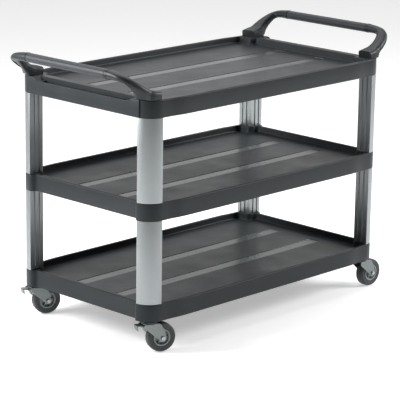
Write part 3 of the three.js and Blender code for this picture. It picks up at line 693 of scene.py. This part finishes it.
def arm_rings(side):
    """Sections along one arm, from its foot on the shelf to the collar."""
    reach = 0.004
    centres = [Vector((x * MM, side * y * MM, TOP_RIM + z * MM)) for (x, y, z), *_ in ARM]
    shapes = [Vector((half[0] * MM, half[1] * MM, power, lift)) for _, half, power, lift in ARM]
    rings = []
    for k in range(ARM_STEPS + 1):
        t = k / ARM_STEPS
        ahead, behind = spline(centres, min(t + reach, 1)), spline(centres, max(t - reach, 0))
        tangent = (ahead - behind).normalized() if k < ARM_STEPS else Vector((0, -side, 0))
        shape = spline(shapes, t)
        rings.append(ring(spline(centres, t), tangent * side, shape[:2], shape[2], shape[3]))
    return rings


def bar_ring(y, half):
    return ring(Vector((GRIP_X, y, GRIP_Z)), Vector((0, -1, 0)), half, BAR_POWER)


def make_handle(end, turn):
    make_bail(end, Matrix.Rotation(turn, 4, "Z"))
    make_grip(end, Matrix.Rotation(turn, 4, "Z"))


def make_bail(end, matrix):
    """Both arms, the collars and the bar inside the grip, cut flat where they sit on the shelf."""
    soft = 1.2 * MM
    collar = [
        (COLLAR_END + 3 * MM, GRIP_HALF),
        (COLLAR_END, GRIP_HALF),
        (COLLAR_END, COLLAR_HALF),
        (GRIP_END + soft, COLLAR_HALF),
        (GRIP_END, (COLLAR_HALF[0] - soft, COLLAR_HALF[1] - soft)),
        (GRIP_END, BAR_HALF),
    ]
    rings = arm_rings(1) + [bar_ring(y, half) for y, half in collar]
    rings += [bar_ring(-y, half) for y, half in reversed(collar)] + arm_rings(-1)[::-1]
    bm = bmesh.new()
    rows = bridge(bm, rings)
    bm.faces.new(rows[0])
    bm.faces.new(rows[-1])
    bmesh.ops.recalc_face_normals(bm, faces=bm.faces)
    seat = TOP_RIM + GAP
    cut = bmesh.ops.bisect_plane(
        bm, geom=bm.verts[:] + bm.edges[:] + bm.faces[:],
        plane_co=(0, 0, seat), plane_no=(0, 0, -1), clear_outer=True,
    )
    rim_edges = [e for e in cut["geom_cut"] if isinstance(e, bmesh.types.BMEdge)]
    bmesh.ops.contextual_create(bm, geom=rim_edges)
    bmesh.ops.holes_fill(bm, edges=[e for e in bm.edges if e.is_boundary])
    bmesh.ops.transform(bm, matrix=matrix, verts=bm.verts)
    place(finish_mesh(f"push_handle_{end}", bm, MATERIALS["handle"]), "root", f"handle_{end}")


def make_grip(end, matrix):
    """The sleeve round the bar, with softened ends."""
    bm = bmesh.new()
    edge = 1 * MM
    rows = [(GRIP_END - GAP, -edge), (GRIP_END - GAP - edge, 0)]
    rows += [(-y, grow) for y, grow in reversed(rows)]
    outer = [bar_ring(y, (GRIP_HALF[0] + grow, GRIP_HALF[1] + grow)) for y, grow in rows]
    core = (GRIP_HALF[0] - GRIP_WALL, GRIP_HALF[1] - GRIP_WALL)
    bore = [bar_ring(y, core) for y in (-GRIP_END + GAP, GRIP_END - GAP)]
    bridge(bm, outer + bore, closed=True)
    bmesh.ops.transform(bm, matrix=matrix, verts=bm.verts)
    place(finish_mesh(f"grip_sleeve_{end}", bm, MATERIALS["grip"]), "root", f"grip_{end}")


make_handle("right", 0)
make_handle("left", math.pi)


# ---- casters ----
TYRE_HALF = 17.6 * MM
TYRE_SHOULDER = 9 * MM
SPOKES = 6
FORK_INNER = 20.5 * MM
FORK_THICK = 3.2 * MM
FORK_FRONT, FORK_REAR = 34 * MM, -22 * MM
FORK_BOSS = 13 * MM
FORK_PLATE = 4.4 * MM
AXLE_BORE = 4.3 * MM
RACE_THICK = 4.4 * MM
RIVET_RADIUS = 6 * MM
PLATE_BORE = 6.3 * MM
PIN_X = -25 * MM
PIN_BELOW = 9.5 * MM
PEDAL_HALF = 14 * MM
UPRIGHT_TURN = Matrix.Rotation(math.pi / 2, 4, "X")

# Half of the hub's turned profile, in mm: radius and distance from its middle.
HUB_PROFILE = [
    (7.8, 19.9), (12.5, 19.9), (13.5, 19), (14, 5.5), (16, 4), (22.5, 4), (24.5, 5.5), (25, 15.8),
    (25.7, 16.5), (29.3, 16.5), (30, 15.8),
]


def local_frame(corner):
    """A frame on the floor under the swivel axis, with +X towards the trailing wheel.

    Also gives the trail, the axle's height and the height of the fork's top.
    """
    pivot = Vector(JOINTS[f"swivel_turn_{corner}"]["pos_m"])
    axle = Vector(JOINTS[f"wheel_roll_{corner}"]["pos_m"])
    trail = axle - pivot
    turn = math.atan2(trail.y, trail.x)
    matrix = Matrix.Translation((pivot.x, pivot.y, 0)) @ Matrix.Rotation(turn, 4, "Z")
    return matrix, Vector((trail.x, trail.y)).length, axle.z, pivot.z


def caster_piece(name, bm, matrix, material, body, node):
    bmesh.ops.transform(bm, matrix=matrix, verts=bm.verts)
    place(finish_mesh(name, bm, MATERIALS[material]), body, node)


def round_bore(x, z, radius):
    """A hole's outline, the other way round from the outline that it pierces."""
    return arc(x, z, radius, 0, 345, 23)[::-1]


def make_wheel(corner, matrix, trail, radius):
    at_axle = matrix @ Matrix.Translation((trail, 0, radius))
    body = f"wheel_{corner}"
    half = TYRE_HALF
    bm = bmesh.new()
    profile = [
        (30.6 * MM, half - 1 * MM), (31.6 * MM, half), (36 * MM, half),
        (37 * MM, half - 0.8 * MM), (39 * MM, half - 0.8 * MM),
    ]
    crown = arc(radius - TYRE_SHOULDER, half - TYRE_SHOULDER, TYRE_SHOULDER, 90, 0, 8)
    profile += [(x, min(z, half - 0.2 * MM)) for x, z in crown]
    lathe(bm, both_sides(profile), WHEEL_SIDES, across=True)
    caster_piece(f"tread_{corner}", bm, at_axle, "tyre", body, f"tyre_{corner}")
    bm = bmesh.new()
    lathe(bm, both_sides([(x * MM, z * MM) for x, z in HUB_PROFILE]), WHEEL_SIDES, across=True)
    for k in range(SPOKES):
        spoke = bmesh.new()
        slab(spoke, 13 * MM, 25.5 * MM, -11 * MM, 11 * MM, -1.4 * MM, 1.4 * MM)
        spoke.transform(Matrix.Rotation(k * 2 * math.pi / SPOKES, 4, "Y"))
        join(bm, spoke, "spoke")
    caster_piece(f"rim_{corner}", bm, at_axle, "hub", body, f"wheel_hub_{corner}")


def leg_outline(trail, axle_z, top, braked):
    """One side plate of the fork, with an ear for the pedal's pin where there is a brake."""
    points = [(FORK_FRONT - 8 * MM, top - 1 * MM), (FORK_REAR, top - 1 * MM)]
    if braked:
        points += arc(PIN_X, top - PIN_BELOW, 5.5 * MM, 90, 270, 10)
    points.append((FORK_REAR, top - 16 * MM))
    points += arc(trail, axle_z, FORK_BOSS, 212, 364, 18)
    points += [(FORK_FRONT + 12 * MM, top - 26 * MM), (FORK_FRONT, top - 6 * MM)]
    return points[::-1]


def make_fork(corner, matrix, trail, axle_z, top, braked):
    bm = bmesh.new()
    for y in (-FORK_INNER, FORK_INNER + FORK_THICK):
        leg = bmesh.new()
        outline = leg_outline(trail, axle_z, top, braked)
        prism(leg, [outline, round_bore(trail, axle_z, AXLE_BORE)], 0, FORK_THICK)
        bevel_sharp(leg, 0.8 * MM, segments=3, angle=40)
        leg.transform(Matrix.Translation((0, y, 0)) @ UPRIGHT_TURN)
        join(bm, leg, "leg")
    low = top - FORK_PLATE
    lathe(bm, [
        (PLATE_BORE, low), (24.5 * MM, low), (26 * MM, low + 1.2 * MM), (26 * MM, top - 1.6 * MM),
        (25.5 * MM, top - 0.6 * MM), (24.4 * MM, top), (PLATE_BORE, top),
    ], TURNED_SIDES)
    caster_piece(f"fork_frame_{corner}", bm, matrix, "zinc", f"swivel_{corner}", f"fork_{corner}")


def hexagon(radius):
    return arc(0, 0, radius, 0, 300, 5)


def make_axle(corner, matrix, trail, radius):
    """The axle bolt, with its head on one side of the fork and a locknut on the other."""
    at_axle = matrix @ Matrix.Translation((trail, 0, radius)) @ Matrix.Rotation(-math.pi / 2, 4, "X")
    body = f"swivel_{corner}"
    face = FORK_INNER + FORK_THICK
    tip = face + 8 * MM
    shank = 4 * MM
    bm = bmesh.new()
    prism(bm, [hexagon(7.4 * MM)], -face - 5 * MM, -face - GAP)
    bevel_sharp(bm, 0.6 * MM)
    lathe(bm, [
        (0, -face - 1 * MM), (shank, -face - 1 * MM), (shank, tip - 0.6 * MM), (3.4 * MM, tip), (0, tip),
    ], AXLE_SIDES)
    caster_piece(f"axle_{corner}", bm, at_axle, "steel", body, f"axle_bolt_{corner}")
    bm = bmesh.new()
    prism(bm, [hexagon(7.9 * MM), round_bore(0, 0, AXLE_BORE)], face + GAP, face + 6 * MM)
    bevel_sharp(bm, 0.5 * MM)
    caster_piece(f"locknut_{corner}", bm, at_axle, "steel", body, f"axle_nut_{corner}")


def make_stem(corner, matrix, fork_top):
    """The stem with its flange and the rivet head under the fork, then the race round it."""
    race_low = fork_top + GAP
    race_high = race_low + RACE_THICK
    flange_low = race_high + GAP
    flange_high = flange_low + 3 * MM
    head_top = fork_top - FORK_PLATE - GAP
    head_low = head_top - 4 * MM
    stem_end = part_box(f"caster_stem_{corner}")[1].z
    bm = bmesh.new()
    lathe(bm, [
        (0, head_low), (RIVET_RADIUS, head_low), (9 * MM, head_low + 1 * MM),
        (10 * MM, head_top - 1.6 * MM), (10 * MM, head_top), (RIVET_RADIUS, head_top),
        (RIVET_RADIUS, flange_low), (20 * MM, flange_low), (21 * MM, flange_low + 1 * MM),
        (21 * MM, flange_high - 0.6 * MM), (20.4 * MM, flange_high), (RIVET_RADIUS, flange_high),
        (RIVET_RADIUS, stem_end - 2 * MM), (4 * MM, stem_end), (0, stem_end),
    ], TURNED_SIDES)
    caster_piece(f"stem_{corner}", bm, matrix, "steel", "root", f"caster_stem_{corner}")
    bm = bmesh.new()
    lathe(bm, [
        (PLATE_BORE, race_low), (21.5 * MM, race_low), (24 * MM, race_low + 0.6 * MM),
        (25.6 * MM, race_low + 1.6 * MM), (26 * MM, race_low + 2.6 * MM), (25.4 * MM, race_low + 3.8 * MM),
        (24 * MM, race_high), (PLATE_BORE, race_high),
    ], TURNED_SIDES)
    caster_piece(f"race_{corner}", bm, matrix, "zinc", "root", f"swivel_race_{corner}")


def make_pedal(corner, matrix, fork_top):
    """The brake pedal, a toe plate and a shoe round one pin, and then the pin."""
    x, z = PIN_X, fork_top - PIN_BELOW
    toe = x - 25 * MM
    sleeve = 4.5 * MM
    outline = [
        (x - 3 * MM, z + 4 * MM), (toe + 2.6 * MM, z + 5 * MM), (toe + 0.8 * MM, z + 4.6 * MM),
        (toe, z + 3 * MM), (toe + 3 * MM, z - 13 * MM), (toe + 6 * MM, z - 13 * MM),
        (toe + 4 * MM, z + 1.5 * MM),
    ]
    outline += arc(x, z, sleeve, 180, 243, 6)
    outline += [(x + 7 * MM, z - 20 * MM), (x + 11 * MM, z - 18 * MM)]
    outline += arc(x, z, sleeve, -27, 108, 12)
    bm = bmesh.new()
    prism(bm, [outline, round_bore(x, z, 2.8 * MM)], -PEDAL_HALF, PEDAL_HALF)
    bevel_sharp(bm, 0.6 * MM, angle=40)
    stand = matrix @ UPRIGHT_TURN
    caster_piece(f"pedal_plate_{corner}", bm, stand, "zinc", f"pedal_{corner}", f"brake_pedal_{corner}")
    bm = bmesh.new()
    end = FORK_INNER + FORK_THICK + 1 * MM
    lathe(bm, [
        (0, -end), (2 * MM, -end), (2.5 * MM, -end + 0.5 * MM),
        (2.5 * MM, end - 0.5 * MM), (2 * MM, end), (0, end),
    ], PIN_SIDES, across=True)
    at_pin = matrix @ Matrix.Translation((x, 0, z))
    caster_piece(f"pivot_pin_{corner}", bm, at_pin, "steel", f"swivel_{corner}", f"pedal_pin_{corner}")


def recolour(node, material):
    """Gives a CAD piece that stays visible its finished material."""
    shown = frame["nodes"][node]
    shown.data.materials.clear()
    shown.data.materials.append(MATERIALS[material])


for corner_name in CORNERS:
    base, trail_length, wheel_radius, head_top = local_frame(corner_name)
    has_brake = f"brake_press_{corner_name}" in JOINTS
    make_wheel(corner_name, base, trail_length, wheel_radius)
    make_fork(corner_name, base, trail_length, wheel_radius, head_top, has_brake)
    make_axle(corner_name, base, trail_length, wheel_radius)
    make_stem(corner_name, base, head_top)
    if has_brake:
        make_pedal(corner_name, base, head_top)
    recolour(f"axle_bush_{corner_name}", "bush")
    recolour(f"handle_bolt_{corner_name}", "steel")


# ---- camera ----
AZIMUTH = math.radians(-45.975)
ELEVATION = math.radians(14.588)
ROLL = math.radians(0.833)
TARGET = Vector((-0.0212, -0.0043, 0.3760))
DISTANCE = 7.3837
LENS = 187.25
SENSOR_WIDTH = 36
CLIP_END = 100
camera_data = bpy.data.cameras.new("camera")
camera_data.lens = LENS
camera_data.sensor_width = SENSOR_WIDTH
camera_data.clip_end = CLIP_END
camera = bpy.data.objects.new("camera", camera_data)
back = Vector((
    math.sin(AZIMUTH) * math.cos(ELEVATION), -math.cos(AZIMUTH) * math.cos(ELEVATION), math.sin(ELEVATION),
))
camera.location = TARGET + back * DISTANCE
camera.rotation_mode = "QUATERNION"
camera.rotation_quaternion = back.to_track_quat("Z", "Y") @ Matrix.Rotation(ROLL, 3, "Z").to_quaternion()
bpy.context.scene.collection.objects.link(camera)
bpy.context.scene.camera = camera
bpy.context.scene.view_settings.view_transform = "Standard"


# ---- floor and light ----
STUDIO_HALF = 40
STUDIO_LOW, STUDIO_HIGH = -20 * MM, -0.5 * MM
FAR_SIDE = (0.68, 0.70, 0.2)

# Each area light: name, place, what it points at, size, watts.
LIGHTS = [
    ("overhead", (0.4, 0.8, 4.2), (0, 0, 0.5), (3.6, 3.6), 100),
    ("left", (-1.9, 0.9, 1.35), (-0.5, 0, 0.8), (0.7, 0.9), 50),
    ("front_right", (3.0, -2.6, 2.4), (0, 0, 0.5), (1.6, 1.4), 130),
]


def add_floor():
    """A pale floor that glows a little, so that it stays near white round the shadows."""
    bm = bmesh.new()
    slab(bm, -STUDIO_HALF, STUDIO_HALF, -STUDIO_HALF, STUDIO_HALF, STUDIO_LOW, STUDIO_HIGH)
    material, _, _, shader, _ = new_material("studio_floor")
    shader.inputs["Base Color"].default_value = (0.9, 0.9, 0.9, 1)
    shader.inputs["Roughness"].default_value = 0.9
    shader.inputs["Specular IOR Level"].default_value = 0
    shader.inputs["Emission Color"].default_value = (1, 1, 1, 1)
    shader.inputs["Emission Strength"].default_value = 0.4
    finish_mesh("studio_floor", bm, material)


def add_area(name, location, target, size, power):
    data = bpy.data.lights.new(name, "AREA")
    data.shape = "RECTANGLE"
    data.size, data.size_y = size
    data.energy = power
    light = bpy.data.objects.new(name, data)
    light.location = location
    light.rotation_euler = (Vector(target) - Vector(location)).to_track_quat("-Z", "Y").to_euler()
    bpy.context.scene.collection.objects.link(light)


def add_world():
    """Dim on the near side, brighter towards the far side that the trays mirror."""
    world = bpy.data.worlds.new("studio")
    world.use_nodes = True
    nodes, links = world.node_tree.nodes, world.node_tree.links
    coords = nodes.new("ShaderNodeTexCoord")
    facing = nodes.new("ShaderNodeVectorMath")
    facing.operation = "DOT_PRODUCT"
    facing.inputs[1].default_value = FAR_SIDE
    links.new(coords.outputs["Generated"], facing.inputs[0])
    shade = ramp(nodes, links, facing.outputs["Value"], [(0.0, grey(0.06)), (0.7, grey(1.0))])
    links.new(shade.outputs["Color"], nodes["Background"].inputs["Color"])
    nodes["Background"].inputs["Strength"].default_value = 1.0
    bpy.context.scene.world = world


add_floor()
for light_row in LIGHTS:
    add_area(*light_row)
add_world()
